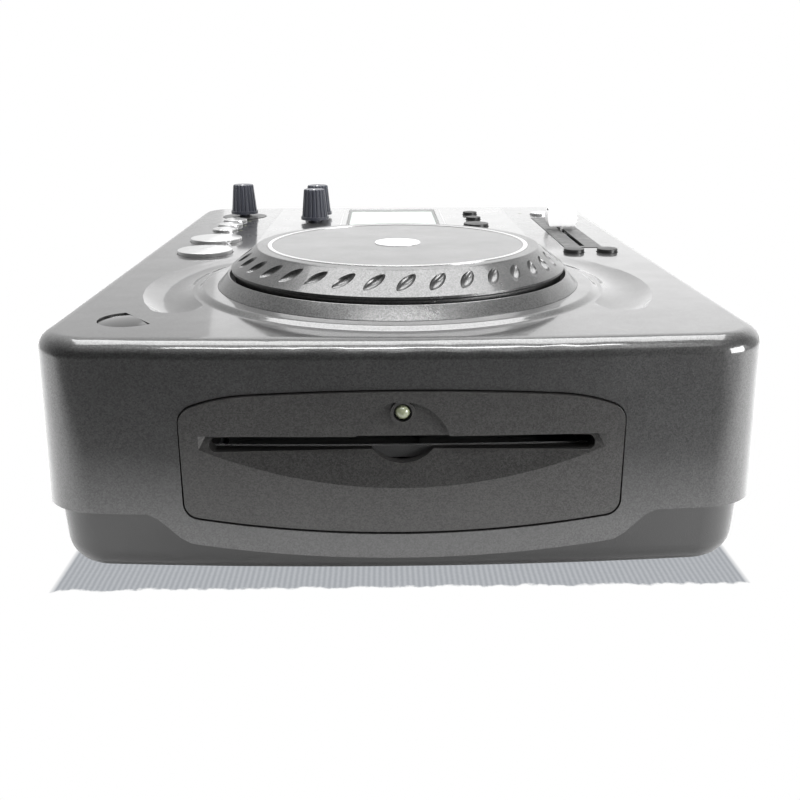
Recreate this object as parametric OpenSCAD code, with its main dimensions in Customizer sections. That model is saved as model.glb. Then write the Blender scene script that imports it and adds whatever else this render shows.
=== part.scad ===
// Tabletop disc player: a two-part drafted case with a jog wheel, buttons, knobs and a slider on
// top, a disc slot in front, sockets behind and a slot-loading disc mechanism inside.
// Millimetres. X is to the right, Y to the back and Z up. Z = 0 is the table it stands on.

/* [Case] */
// Width across the top edges of the sides
body_w = 240; // [236:1:290]
// Depth across the top edges of front and back
body_d = 338; // [330:1:400]
// Height of the flat top face above the table
top_z = 90; // [88:1:110]
// Wall thickness of the top shell
shell_wall = 2.6; // [2:0.1:3.2]
// Radius of the rounded top edge
edge_r = 6.2; // [5:0.1:8]
// Radius of the vertical corners
corner_r = 20; // [16:1:26]
// How far the front bows out past its corners
front_bow = 4; // [2:0.1:7]
// How far each side leans out from the top edge down to the seam
side_flare = 2; // [1:0.1:2.4]
// Height of the seam between shell and tray at the sides
seam_z = 32; // [30:1:34]
// Height of the apron's lower edge at the middle of the front
apron_z = 17; // [15:0.5:18]
// Half width of the apron that dips at the front
apron_half = 84; // [80:1:88]
// How far the tray is set back under the shell
tray_step = 3.8; // [3.4:0.1:5]
// Wall and floor thickness of the tray
tray_wall = 3; // [2.4:0.1:3.4]
// Radius of the tray's lower edge
tray_edge_r = 10; // [7:0.5:11]
// How far the tray's wall rises behind the seam
tray_lap = 3; // [2:0.1:3.2]
// Height of the feet
foot_h = 7; // [6:0.5:8]
// Radius of a foot
foot_r = 9; // [7:0.5:11]
// Radius of a screw boss
boss_r = 4.5; // [4:0.1:5]
// Radius of a case screw's shank
screw_r = 1.5; // [1.2:0.1:1.7]

/* [Disc slot] */
// Height of the disc's path, at the middle of the slot
slot_z = 56.3; // [55:0.1:57]
// Width of the disc slot
slot_w = 124; // [123:0.5:127]
// Height of the disc slot
slot_h = 4.6; // [4.5:0.1:5.2]
// Half width of the front bezel
bezel_half = 71.3; // [70:0.1:74]
// Height of the bezel's top edge at the middle
bezel_top = 74.3; // [73:0.1:76]
// Height of the bezel's lower edge at the middle
bezel_low = 26; // [25:0.1:27.5]
// How far the bezel stands proud of the shell's upper front
bezel_proud = 1.7; // [1.2:0.1:2]
// Thickness of the bezel
bezel_t = 6.3; // [6:0.1:7]
// Gap round the bezel
bezel_gap = 0.5; // [0.3:0.1:0.8]
// Radius of the finger notch above the slot
notch_r = 15.4; // [14:0.1:17]
// Radius of the cut in the slot's lower lip
lip_cut_r = 13.2; // [12:0.1:13.8]
// Radius of the disc lamp in the notch
lamp_r = 2.45; // [2:0.05:2.6]

/* [Jog wheel] */
// Distance from the case's front edge to the jog wheel's centre
jog_from_front = 92.2; // [90:0.1:96]
// Outer radius of the jog wheel
jog_r = 65.5; // [63:0.1:66]
// Height of the jog wheel's flat top above the case's top
jog_rise = 16; // [15:0.5:20]
// Height of the jog wheel's lower rim above the case's top
jog_rim_rise = 8.3; // [8:0.1:9]
// Radius of the flat disc on the jog wheel
jog_disc_r = 49.5; // [47:0.5:50]
// Width of the bright ring round that disc
trim_w = 1.8; // [1.2:0.1:2]
// Radius of the pale cap at the jog wheel's centre
cap_r = 9; // [7:0.5:11]
// Number of finger dimples round the jog wheel
dimples = 35; // [30:1:40]
// Length of a finger dimple
dimple_len = 11.5; // [9:0.5:12]
// Width of a finger dimple
dimple_w = 4.3; // [3.5:0.1:4.6]
// Radius of the jog wheel's shaft
shaft_r = 4; // [3.5:0.1:4.5]
// Running gap round a shaft in its bush
running_gap = 0.04; // [0.03:0.01:0.08]
// Height of the fixed collar above the case's top
collar_rise = 6; // [5.6:0.1:6.4]
// Outer radius of the fixed collar
collar_r = 71; // [70.5:0.1:72]
// Outer radius of the flat top of the raised ring round the collar
plateau_r = 76; // [75:0.5:77]
// Radius at which the raised ring has run out into the case's top
plateau_foot_r = 79.6; // [79:0.1:80]
// Height of the raised ring
plateau_rise = 1.5; // [1:0.1:2]
// Radius of the middle line of the finger dishes beside the jog wheel
dish_path_r = 90; // [89.5:0.1:91]
// Width of a finger dish
dish_w = 20; // [17:0.5:20]
// Depth of a finger dish at its near end
dish_depth = 3; // [2:0.1:3.4]

/* [Controls] */
// How far a button travels
button_travel = 1; // [0.8:0.1:1.1]
// Gap round a button in its hole
button_gap = 0.35; // [0.3:0.05:0.5]
// Radius of the two large silver buttons
large_button_r = 12.9; // [12.5:0.1:13.4]
// Radius of the three small silver buttons
small_button_r = 6.75; // [6:0.05:6.9]
// Radius of the silver button behind the slider
round_button_r = 5.5; // [4.5:0.1:6]
// Radius of the two dark buttons in front of the slider
bend_button_r = 4.8; // [4.4:0.1:5.4]
// Height of the large buttons above the case's top
large_button_rise = 2.5; // [2:0.1:3]
// Height of the other buttons above the case's top
small_button_rise = 2; // [1.6:0.1:2.4]
// Height of the dark buttons beside the display above the case's top
display_button_rise = 2.4; // [1.8:0.1:2.8]
// Radius of a knob's foot
knob_r = 8; // [7:0.1:9]
// Radius of a knob's top
knob_top_r = 6; // [5.5:0.1:6.5]
// Height of a knob
knob_h = 17; // [15:0.5:19]
// Number of flutes round a knob
knob_flutes = 18; // [14:1:22]
// Length of the slider's slot
fader_slot = 101; // [98:1:104]
// Width of the slider's slot
fader_slot_w = 2.4; // [2.2:0.1:3]
// Width of the dark strip round the slider's slot
fader_strip_w = 18.6; // [16:0.1:20]
// Width of the slider's cap
fader_cap_w = 16.4; // [15:0.1:20]
// Height of the slider's cap
fader_cap_h = 10; // [8:0.5:12]
// Depth of the slider's cap, front to back
fader_cap_d = 10; // [9:0.5:16]
// Half width of the display plate
plate_half = 69.5; // [66:0.5:70]
// Thickness of the display plate
plate_t = 1.2; // [1:0.1:1.6]
// How far the display plate stands above the case's top
plate_proud = 0.4; // [0.2:0.1:0.6]
// Width of the display window
window_w = 53; // [48:0.5:54]
// Depth of the display window, front to back
window_d = 66; // [60:1:68]

/* [Loader] */
// Diameter of the disc it plays
disc_d = 120; // [119:0.5:121]
// Distance from the jog wheel's centre back to the disc's centre, negative to the front
spindle_shift = -11.2; // [-12:0.1:-10]
// Half width of the loader's frame
loader_half = 69; // [68:0.5:70]
// Sheet thickness of the loader's side walls
loader_wall = 3; // [2.5:0.1:3.4]
// Radius of the feed roller
roller_r = 4; // [3.6:0.1:4.2]
// Tooth module of the loading gears
gear_module = 0.8; // [0.8:0.05:0.9]
// Teeth on the feed roller's gear
roller_teeth = 24; // [22:2:26]
// Teeth on the loading motor's pinion
pinion_teeth = 12; // [10:2:12]
// Radius of the turntable under the disc
hub_r = 14; // [12:0.5:15]
// Radius of the boss that centres the disc
hub_boss_r = 7.3; // [7:0.05:7.4]
// Radius of the clamp above the disc
puck_r = 13; // [12:0.5:14]
// Travel of the laser sled
sled_travel = 34; // [30:1:35]
// Radius of the sled's rails and screw
rail_r = 1.5; // [1.2:0.1:1.6]

/* [Hidden] */
$fn = 64;

// Case outline
half_w = body_w / 2;
half_d = body_d / 2;
fillet_z = top_z - edge_r;
lean = side_flare / (fillet_z - seam_z);
post_x = half_w - corner_r;
bow_r = (post_x * post_x + front_bow * front_bow) / (2 * front_bow) + corner_r;
bow_y = bow_r - half_d;
bow_a = asin(post_x / (bow_r - corner_r));
post_front_y = bow_y - (bow_r - corner_r) * cos(bow_a);
rear_y = half_d + lean * (seam_z - apron_z);
post_rear_y = rear_y - corner_r;
inner_top = top_z - shell_wall;
bow_facets = 24;
corner_facets = 10;
edge_facets = 6;
tray_floor = foot_h + tray_wall;
tray_rim = seam_z + tray_lap;
tray_lean = 0.05;
apron_sag = 7;
apron_turn = 15;

// Line that the rear controls are placed from, and the middle of the strip beside the plate
panel_depth = 246.4;
panel_y = rear_y - panel_depth;
side_x = (half_w + plate_half) / 2;

// Bosses that join shell and tray
boss_x = half_w - 18;
boss_ys = [-half_d + 54, panel_y + 90.8, rear_y - 21.6];
screw_head_r = 3.6;
screw_head_h = 2.4;
screw_pocket = 3.4;

// Jog wheel
function jog_y() = -half_d + jog_from_front;
jog_top = top_z + jog_rise;
jog_rim = top_z + jog_rim_rise;
jog_flat_r = jog_disc_r + 5.5;
jog_wall = 2.6;
jog_skirt_low = top_z + 3;
jog_skirt_r = jog_r - 1.3;
disc_plate_t = 1;
collar_in_r = jog_r + 0.7;
bush_r = shaft_r + 2;
bush_flange_r = shaft_r + 5;
bush_flange_t = 1.5;
hub_low = top_z + bush_flange_t + 0.5;
bearing_low = inner_top - 4;
encoder_z = inner_top - 6;
encoder_r = 24;
encoder_t = 1;
dish_start = -27;
dish_reach = 46;
dish_end = min(dish_reach, dish_reach + panel_y - jog_y());
dish_lip = 0.4;
dish_facets = 10;
dimple_turn = 4.4;

// Controls on the top, each placed from the left or right edge and the jog wheel's centre
left_x = 3.75 - side_x;
right_x = boss_x - 10;
flange_w = 1.2;
flange_t = 1.5;
flange_top = inner_top - 0.3;
board_t = 1.6;
board_z = inner_top - 10;
board_top = board_z + board_t;
play_pos = [left_x, panel_y + 109.5];
cue_pos = [left_x + 0.7, panel_y + 73.5];
mode_pos = [for (i = [0 : 2]) [left_x - 1, panel_y + 181.6 - 18.5 * i]];
plate_button_pos = [[47.3, panel_y + 203.3], [47.3, panel_y + 180.8], [46.4, panel_y + 154.3]];
plate_button_rs = [4.2, 4.25, 6.9];
bend_pos = [[right_x - 7.1, panel_y + 69.8], [right_x + 8.7, panel_y + 69.8]];
silver_crown = 0.8;
dark_crown = 0.3;
pitch_pos = [right_x - 2, panel_y + 204.6];
eject_pos = [-half_w + 27.7, jog_y() - 59.5];
eject_r = 10.3;
eject_chord = 2.66;
eject_turn = 36.7;
knob_pos = [[left_x + 1.6, panel_y + 202.6], [-44.9, panel_y + 174.6], [-44.4, panel_y + 196.6]];
knob_low = top_z + 2;
knob_skirt_h = 1.6;
spindle_r = 3;
pot_half = 7;
pot_h = 7;
bushing_r = 3.8;
ring_r = 13;
inlay_t = 0.6;
lamp_pos = concat([for (p = mode_pos) [p.x + 8.3, p.y]], [pitch_pos + [-11, 6]]);
small_lamp_r = 1;
fader_x = right_x;
fader_y0 = panel_y + 85.6;
fader_rest = fader_y0 + 59;
fader_body_h = 7;
fader_body_w = 9;
lever_t = 1.6;
lever_d = 6;
fader_cap_low = top_z + 1.8;
switch_body = 6;
switch_h = 3.6;
plunger_gap = 0.4;
plunger_h = flange_top - flange_t - board_top - switch_h - button_travel - plunger_gap;
plunger_r = 1.7;

// Display
plate_front = jog_y() + 68.9;
plate_rear = panel_y + 235;
plate_arc_r = plateau_foot_r + 2.5;
window_y = panel_y + 195.6;
window_ledge = 1;
module_t = 6.2;
fit_gap = 0.15;
plate_gap = 0.35;

// Bezel
bezel_corner = 5;
bezel_top_corner = 6;
bezel_shoulder_r = 60;
bezel_shoulder_in = 21.3;
bezel_flange = 3;
bezel_flange_t = 2;
bezel_top_r = 800;
bezel_low_r = 455;
mouth_half = slot_w / 2 + 3.3;
mouth_end = slot_w / 2 + 0.3;
mouth_depth = 3.5;
mouth_low = slot_z - 14.6;
mouth_top = slot_z + slot_h / 2 + 0.95;
mouth_arc_r = 284;
mouth_tilt = 73.6;
notch_z = slot_z - 0.6;
notch_depth = 2;
lip_cut_z = slot_z + 6.4;
lamp_z = slot_z + 11;
lamp_out = 1.4;
lamp_groove = 0.5;
lamp_collar = 1.45;
felt_t = 1.5;
felt_h = 4;
felt_lap = 0.1;

// Rear recess and sockets
recess_half = half_w - 28;
recess_low = seam_z + 6;
recess_top = recess_low + 24;
recess_wall = 1.6;
recess_floor_y = rear_y - 11.6;
recess_mid_z = (recess_low + recess_top) / 2;
inlet_x = -recess_half + 38;
rocker_x = -recess_half + 16;
rocker_half = 5.5;
rocker_y = recess_floor_y + recess_wall + 1.2;
rocker_tilt = 8;
face_t = 2;
inlet_half = 4.3;
inlet_pin_r = 1.2;
inlet_depth = 12;
jack_xs = [40, 56, 72];
jack_r = 4.15;
jack_bore_r = 1.6;
jack_out = 8;
mini_jack_x = 22;
mini_bore_r = 1.8;

// Mains transformer and main board
transformer_x = -half_w + 46;
transformer_y = panel_y + 186;
transformer_h = 40;
core_half = 24;
lug_half = 32;
board_x0 = transformer_x + lug_half + 2;
board_x1 = half_w - 20;
board_y0 = panel_y + 92;
board_d = 128;
main_board_z = tray_floor + 8;

// Loader
disc_y = jog_y() + spindle_shift;
path_low = slot_z - slot_h / 2;
path_high = slot_z + slot_h / 2;
loader_front = disc_y - disc_d / 2 - 12;
loader_rear = disc_y + disc_d / 2 + 20;
wall_in = loader_half - loader_wall;
wall_top = path_high + 8;
deck_z = path_low - 14.6;
deck_t = 2;
deck_cut = 42;
ear_x = loader_half + 7;
ear_ys = [disc_y - 36, disc_y + 48];
ear_z = deck_z + 5;
ear_t = 2;
bush_hole_r = 4;
bush_out_r = 6;
post_pin_r = 2.3;
roller_y = loader_front + 8;
roller_z = path_low - 0.2 - roller_r;
roller_shaft_r = 1.5;
gear_x = loader_half + 3;
gear_t = 4;
gear_gap = 0.15;
pinion_z = roller_z - gear_module * (roller_teeth + pinion_teeth) / 2 - gear_gap;
motor_r = 10;
motor_len = 22;
guide_z = path_high + 0.1;
guide_t = 2;
traverse_z = deck_z + deck_t + 1;
traverse_t = 2;
traverse_half = 40;
pivot_y = disc_y + 74;
pivot_z = traverse_z + traverse_t / 2 + 0.4;
pin_gap = 0.1;
hub_top = path_low - 0.4;
hub_deck = hub_top - 1.8;
hub_shaft_low = traverse_z - 6.4;
spindle_motor_h = 10;
spindle_shaft_r = 1.5;
clamp_y = disc_y + 70;
clamp_z = path_high + 4.5;
clamp_t = 2.6;
puck_low = path_high + 0.2;
puck_neck_r = 5;
puck_hole_r = 5.6;
rail_x = 20;
rail_z = traverse_z + traverse_t + 4.6;
rail_y0 = disc_y + 14.5;
rail_y1 = rail_y0 + 2 * 7 + sled_travel + 5;
rail_post = 2.5;
sled_half_y = 7;
sled_home_y = rail_y0 + sled_half_y + 2.5;
screw_x = 31;
sled_motor_r = 4.6;

/* ---------- Shared shapes ---------- */

// Points of a quarter round that leaves the side upright and meets the top level
function quarter(cx, cz, r, steps = 6) =
    [for (i = [0 : steps]) [cx + r * cos(90 * i / steps), cz + r * sin(90 * i / steps)]];

// Round stretches of the case's plan, anticlockwise from the front: centre, radius, first and last
// direction, number of facets
function plan_arcs() = [
    [[0, bow_y], bow_r, -90 - bow_a, -90 + bow_a, bow_facets],
    [[post_x, post_front_y], corner_r, -90 + bow_a, 0, corner_facets],
    [[post_x, post_rear_y], corner_r, 0, 90, corner_facets],
    [[-post_x, post_rear_y], corner_r, 90, 180, corner_facets],
    [[-post_x, post_front_y], corner_r, 180, 270 - bow_a, corner_facets]];

// Outline of the case's plan, grown by e and lifted to z; the bow shares its ends with the corners
function plan_ring(e, z) = [for (k = [0 : 4]) let (s = plan_arcs()[k], skip = k == 0 ? 1 : 0)
    for (i = [skip : s[4] - skip]) let (a = s[2] + (s[3] - s[2]) * i / s[4])
        [s[0].x + (s[1] + e) * cos(a), s[0].y + (s[1] + e) * sin(a), z]];

// Growth and height of each ring of the shell, drawn in by inset and cut off level at low
function shell_rings(inset, low) = let (r = edge_r - inset, a = atan(lean),
        e = r * cos(a) - edge_r, z = fillet_z + r * sin(a))
    concat([[e + lean * (z - low), low]],
        [for (i = [0 : edge_facets]) let (t = a + (90 - a) * i / edge_facets)
            [r * cos(t) - edge_r, fillet_z + r * sin(t)]]);

// The same for the tray, from its floor up to high
function tray_rings(inset, high) = let (r = tray_edge_r - inset, a = atan(tray_lean),
        z = foot_h + tray_edge_r, e = side_flare - tray_step - tray_lean * (seam_z - z) - tray_edge_r)
    concat([for (i = [0 : edge_facets]) let (t = 90 - (90 - a) * i / edge_facets)
            [e + r * cos(t), z - r * sin(t)]],
        [[e + r * cos(a) + tray_lean * (high - z + r * sin(a)), high]]);

// Solid through a stack of plan rings, each given by its growth and height
module loft(rings) {
    n = len(plan_ring(0, 0));
    last = (len(rings) - 1) * n;
    polyhedron(
        points = [for (g = rings) each plan_ring(g[0], g[1])],
        faces = concat([[for (i = [0 : n - 1]) i]],
            [for (k = [0 : len(rings) - 2], i = [0 : n - 1]) let (j = (i + 1) % n)
                [k * n + i, (k + 1) * n + i, (k + 1) * n + j, k * n + j]],
            [[for (i = [n - 1 : -1 : 0]) last + i]]));
}

// Height of the seam at a distance x from the middle of the front
function seam_at(x) = let (t = (abs(x) - apron_half + apron_turn) / apron_turn,
        s = t <= 0 ? 0 : t >= 1 ? 1 : (1 - cos(180 * t)) / 2,
        u = abs(x) / apron_half)
    apron_z + apron_sag * u * u + (seam_z - apron_z - apron_sag) * s;

// Everything below the seam, as far as the shell reaches
module below_seam() {
    steps = 48;
    edge = [for (i = [0 : steps]) let (x = apron_half * (2 * i / steps - 1)) [x, seam_at(x)]];
    span = half_w + 20;
    translate([0, post_front_y, 0]) rotate([90, 0, 0]) linear_extrude(corner_r + 40)
        polygon(concat([[-span, 0], [-span, seam_z]], edge, [[span, seam_z], [span, 0]]));
    translate([-span, post_front_y - 0.01, 0]) cube([2 * span, body_d, seam_z]);
}

// Round stretches of the bezel's right side, from the middle of its lower edge up to the middle of
// its top: centre, radius, first and last direction, number of facets, first point used
function bezel_arcs() = let (
        a1 = asin((bezel_half - bezel_shoulder_in) / bezel_top_r),
        c1 = [0, bezel_top - bezel_top_r],
        c2 = c1 + (bezel_top_r - bezel_shoulder_r) * [sin(a1), cos(a1)],
        in2 = bezel_shoulder_r - bezel_top_corner,
        a2 = asin((bezel_half - bezel_top_corner - c2.x) / in2),
        c3 = c2 + in2 * [sin(a2), cos(a2)],
        in4 = bezel_low_r - bezel_corner,
        a4 = asin((bezel_half - bezel_corner) / in4),
        c5 = [0, bezel_low + bezel_low_r],
        c4 = c5 + in4 * [sin(a4), -cos(a4)])
    [[c5, bezel_low_r, -90, a4 - 90, 10, 0],
    [c4, bezel_corner, a4 - 90, 0, 6, 1],
    [c3, bezel_top_corner, 0, 90 - a2, 6, 0],
    [c2, bezel_shoulder_r, 90 - a2, 90 - a1, 5, 1],
    [c1, bezel_top_r, 90 - a1, 90, 8, 1]];

// Front view of the bezel, grown by g
module bezel_outline(g = 0) {
    side = [for (s = bezel_arcs()) each [for (i = [s[5] : s[4]])
        let (a = s[2] + (s[3] - s[2]) * i / s[4]) s[0] + (s[1] + g) * [cos(a), sin(a)]]];
    polygon(concat(side, [for (i = [len(side) - 2 : -1 : 1]) [-side[i].x, side[i].y]]));
}

// A wall that follows the bowed front, between two distances out from it
module bowed_layer(from, to) {
    translate([0, bow_y, 0]) rotate(-90 - bow_a) rotate_extrude(angle = 2 * bow_a, $fn = 720)
        translate([bow_r + from, 0]) square([to - from, top_z]);
}

// Pushes a front view back through the front of the case
module through_front(depth = 30) {
    translate([0, -half_d + depth, 0]) rotate([90, 0, 0]) linear_extrude(2 * depth) children();
}

// Pushes a front view through part of the bezel, from a face at y towards the back
module from_front(y, depth) {
    translate([0, y + depth, 0]) rotate([90, 0, 0]) linear_extrude(depth) children();
}

// Stations along a finger dish, grown by g: direction, half width and depth below the top
function dish_stations(g) = let (w = dish_w / 2 + g, d = dish_depth + g)
    concat(
        [for (a = [12, 32, 54, 74])
            [dish_start - w * cos(a) / dish_path_r * 180 / PI, w * sin(a), d * (1 - pow(cos(a), 2))]],
        [for (i = [0 : dish_facets]) let (t = i / dish_facets)
            [dish_start + (dish_end - dish_start) * t, w, d - (dish_depth + dish_lip) * pow(t, 1.4)]]);

// Trough of a finger dish on the right of the jog wheel, grown by g; it fades out to the back
module dish_trough(g = 0) {
    across = 8;
    n = across + 3;
    stations = dish_stations(g);
    last = (len(stations) - 1) * n;
    translate([0, jog_y(), top_z]) polyhedron(
        points = [for (s = stations) each concat(
            [for (i = [0 : across]) let (u = 2 * i / across - 1, r = dish_path_r + u * s[1])
                [r * cos(s[0]), r * sin(s[0]), dish_lip - (s[2] + dish_lip) * (1 - u * u)]],
            [for (u = [1, -1]) let (r = dish_path_r + u * s[1]) [r * cos(s[0]), r * sin(s[0]), 4]])],
        faces = concat([[for (i = [0 : n - 1]) i]],
            [for (k = [0 : len(stations) - 2], i = [0 : n - 1]) let (j = (i + 1) % n)
                each [[k * n + i, (k + 1) * n + i, (k + 1) * n + j],
                    [k * n + i, (k + 1) * n + j, k * n + j]]],
            [[for (i = [n - 1 : -1 : 0]) last + i]]));
}

// Both finger dishes
module dish_troughs(g = 0) {
    dish_trough(g);
    mirror([1, 0, 0]) dish_trough(g);
}

// Plan of the eject button, grown by g
module eject_outline(g = 0) {
    translate(eject_pos) rotate(eject_turn) intersection() {
        circle(eject_r + g);
        translate([-2 * eject_r, -2 * eject_r]) square([2 * eject_r + eject_chord + g, 4 * eject_r]);
    }
}

// Round push button with a domed top and a retaining flange under the case's top
module push_button(p, r, rise, crown) {
    edge = 0.3;
    steps = 5;
    rim = top_z + rise - crown;
    translate([p.x, p.y, 0]) rotate_extrude() polygon(concat(
        [[0, flange_top - flange_t], [r + flange_w, flange_top - flange_t],
        [r + flange_w, flange_top], [r, flange_top]],
        quarter(r - edge, rim - edge, edge),
        [for (i = [steps - 1 : -1 : 0]) let (t = i / steps) [(r - edge) * t, rim + crown * (1 - t * t)]]));
}

// Hole for a push button
module button_hole(p, r) {
    translate([p.x, p.y, inner_top - 2]) cylinder(h = shell_wall + 6, r = r + button_gap);
}

// Fluted, tapered knob with the spindle that turns in its pot
module knob(p) {
    body_h = knob_h - knob_skirt_h;
    lean_out = knob_r - 0.6 - knob_top_r;
    translate([p.x, p.y, knob_low]) {
        difference() {
            rotate_extrude() polygon(concat(
                [[0, 0], [knob_r, 0], [knob_r, knob_skirt_h], [knob_r - 0.6, knob_skirt_h]],
                quarter(knob_top_r - 0.8, knob_h - 0.8, 0.8), [[0, knob_h]]));
            for (i = [1 : knob_flutes])
                rotate(360 * i / knob_flutes) translate([knob_r - 0.4, 0, knob_skirt_h])
                    rotate([0, -atan(lean_out / body_h), 0]) cylinder(h = 1.2 * knob_h, r = 0.75);
        }
        translate([0, 0, board_top + 2 - knob_low])
            cylinder(h = knob_low - board_top - 2 + 0.01, r = spindle_r);
    }
}

// Plan of a spur gear with straight-flanked teeth, a tooth pointing along +X
module gear_plan(teeth, turn = 0) {
    pitch_r = gear_module * teeth / 2;
    root_r = pitch_r - 1.1 * gear_module;
    tip_r = pitch_r + 0.8 * gear_module;
    step = 360 / teeth;
    tooth = [[root_r, -0.28], [tip_r, -0.1], [tip_r, 0.1], [root_r, 0.28]];
    polygon([for (i = [0 : teeth - 1], p = tooth) let (a = step * (i + p[1]) + turn)
        [p[0] * cos(a), p[0] * sin(a)]]);
}

// Rod along X, starting at a point
module rod_x(p, len, r) {
    translate(p) rotate([0, 90, 0]) cylinder(h = len, r = r);
}

// Rod along Y, starting at a point
module rod_y(p, len, r) {
    translate(p) rotate([-90, 0, 0]) cylinder(h = len, r = r);
}

// Block between two corners
module block(a, b) {
    translate(a) cube(b - a);
}

/* ---------- Case ---------- */

// Raised ring round the jog wheel's collar, with a soft outer step
module plateau() {
    steps = 8;
    run = plateau_foot_r - plateau_r;
    translate([0, jog_y(), 0]) rotate_extrude($fn = 128) polygon(concat(
        [[collar_r + 0.1, inner_top + 0.5], [collar_r + 0.1, top_z + plateau_rise]],
        [for (i = [0 : steps]) [plateau_r + run * i / steps,
            top_z + plateau_rise * (1 + cos(180 * i / steps)) / 2]],
        [[plateau_foot_r, inner_top + 0.5]]));
}

module top_shell() {
    color([0.22, 0.22, 0.23]) difference() {
        union() {
            difference() {
                loft(shell_rings(0, apron_z - 1));
                difference() {
                    loft(shell_rings(shell_wall, 0));
                    dish_troughs(shell_wall);
                }
            }
            plateau();
            shell_bosses();
            translate([0, jog_y(), bearing_low])
                cylinder(h = inner_top - bearing_low + 0.01, r = bush_r + 4);
        }
        below_seam();
        dish_troughs();
        through_front() bezel_outline(bezel_gap);
        block([-recess_half - 0.4, post_rear_y, recess_low - 0.4],
            [recess_half + 0.4, rear_y + 10, recess_top + 0.4]);
        boss_holes();
        translate([0, jog_y(), bearing_low - 1]) cylinder(h = 40, r = bush_r);
        control_holes();
    }
}

// Bosses for the case screws, and pegs that hold the control board
module shell_bosses() {
    low = tray_floor + screw_pocket + 1;
    for (x = [-boss_x, boss_x], y = boss_ys)
        translate([x, y, low]) cylinder(h = inner_top - low + 0.01, r = boss_r);
    for (p = board_pegs())
        translate([p.x, p.y, board_top]) cylinder(h = inner_top - board_top + 0.01, r = 2.5);
}

function board_pegs() = [for (s = [-1, 1], p = [[74, 49], [60, 106], [22, 106], [60, 222]])
    [s * p.x, panel_y + p.y]];

// Pilot holes of the screw bosses
module boss_holes() {
    for (x = [-boss_x, boss_x], y = boss_ys)
        translate([x, y, 0]) cylinder(h = tray_floor + 30, r = screw_r + 0.1);
}

// Everything that the controls need cut out of the top
module control_holes() {
    button_hole(play_pos, large_button_r);
    button_hole(cue_pos, large_button_r);
    for (p = mode_pos) button_hole(p, small_button_r);
    for (i = [0 : 2]) button_hole(plate_button_pos[i], plate_button_rs[i]);
    for (p = bend_pos) button_hole(p, bend_button_r);
    button_hole(pitch_pos, round_button_r);
    translate([0, 0, inner_top - 2]) linear_extrude(shell_wall + 6) eject_outline(button_gap);
    for (p = knob_pos)
        translate([p.x, p.y, inner_top - 2]) cylinder(h = 12, r = bushing_r + 0.4);
    for (p = lamp_pos)
        translate([p.x, p.y, inner_top - 2]) cylinder(h = 12, r = small_lamp_r + 0.02);
    translate([0, 0, top_z - plate_t + plate_proud]) linear_extrude(10) plate_outline(plate_gap);
    translate([0, 0, top_z - inlay_t + 0.1]) linear_extrude(10) inlay_outline(fit_gap);
    translate([-window_w / 2 + window_ledge, window_y - window_d / 2 + window_ledge, inner_top - 2])
        cube([window_w - 2 * window_ledge, window_d - 2 * window_ledge, 12]);
    block([fader_x - fader_slot_w / 2, fader_y0, inner_top - 2],
        [fader_x + fader_slot_w / 2, fader_y0 + fader_slot, top_z + 5]);
}

// Plan of the display plate, grown by g
module plate_outline(g = 0) {
    difference() {
        translate([-plate_half - g, plate_front - g])
            square([2 * (plate_half + g), plate_rear - plate_front + 2 * g]);
        translate([0, jog_y()]) circle(plate_arc_r - g, $fn = 128);
    }
}

// Plans of the dark inlays: the strip round the slider's slot and the ring under a knob
module inlay_outline(g = 0) {
    translate([fader_x - fader_strip_w / 2 - g, fader_y0 - 4 - g])
        square([fader_strip_w + 2 * g, fader_slot + 7 + 2 * g]);
    translate(knob_pos[0]) circle(ring_r + g);
}

module base_tray() {
    color([0.2, 0.2, 0.21]) difference() {
        union() {
            difference() {
                loft(tray_rings(0, tray_rim));
                loft(tray_rings(tray_wall, tray_rim + 1));
            }
            for (x = [-boss_x, boss_x], y = boss_ys)
                translate([x, y, foot_h + 1]) cylinder(h = tray_wall + screw_pocket, r = boss_r + 1.5);
            loader_posts();
            board_posts();
        }
        through_front() bezel_outline(bezel_flange + 0.5);
        for (x = [-boss_x, boss_x], y = boss_ys) translate([x, y, 0]) {
            cylinder(h = foot_h + screw_pocket, r = screw_head_r + 0.4);
            cylinder(h = 40, r = screw_r + 0.1);
        }
    }
}

// Posts in the tray that carry the loader's rubber bushes
module loader_posts() {
    for (x = [-ear_x, ear_x], y = ear_ys) translate([x, y, foot_h + 1]) {
        cylinder(h = ear_z - 2 - foot_h - 1, r = 5);
        cylinder(h = ear_z + 5 - foot_h - 1, r = post_pin_r);
    }
}

function board_posts_xy() = [for (x = [board_x0 + 6, board_x1 - 6], y = [98, 214]) [x, panel_y + y]];

// Posts in the tray that carry the main board
module board_posts() {
    for (p = board_posts_xy())
        translate([p.x, p.y, foot_h + 1]) cylinder(h = main_board_z - foot_h - 1, r = 3);
}

module feet() {
    color([0.06, 0.06, 0.06]) for (x = [-1, 1], y = [-1, 1])
        translate([x * (half_w - 28), y * (half_d - 34), 0]) rotate_extrude()
            polygon([[0, 0], [foot_r - 1, 0], [foot_r, 1], [foot_r, foot_h], [0, foot_h]]);
}

module case_screws() {
    seat = foot_h + screw_pocket;
    color([0.6, 0.6, 0.62]) for (x = [-boss_x, boss_x], y = boss_ys)
        translate([x, y, 0]) difference() {
            union() {
                translate([0, 0, seat - screw_head_h]) cylinder(h = screw_head_h, r = screw_head_r);
                translate([0, 0, seat]) cylinder(h = 18, r = screw_r);
            }
            for (a = [0, 90]) rotate(a)
                translate([-2, -0.4, seat - screw_head_h - 1]) cube([4, 0.8, 2.2]);
        }
}

/* ---------- Front bezel ---------- */

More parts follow.
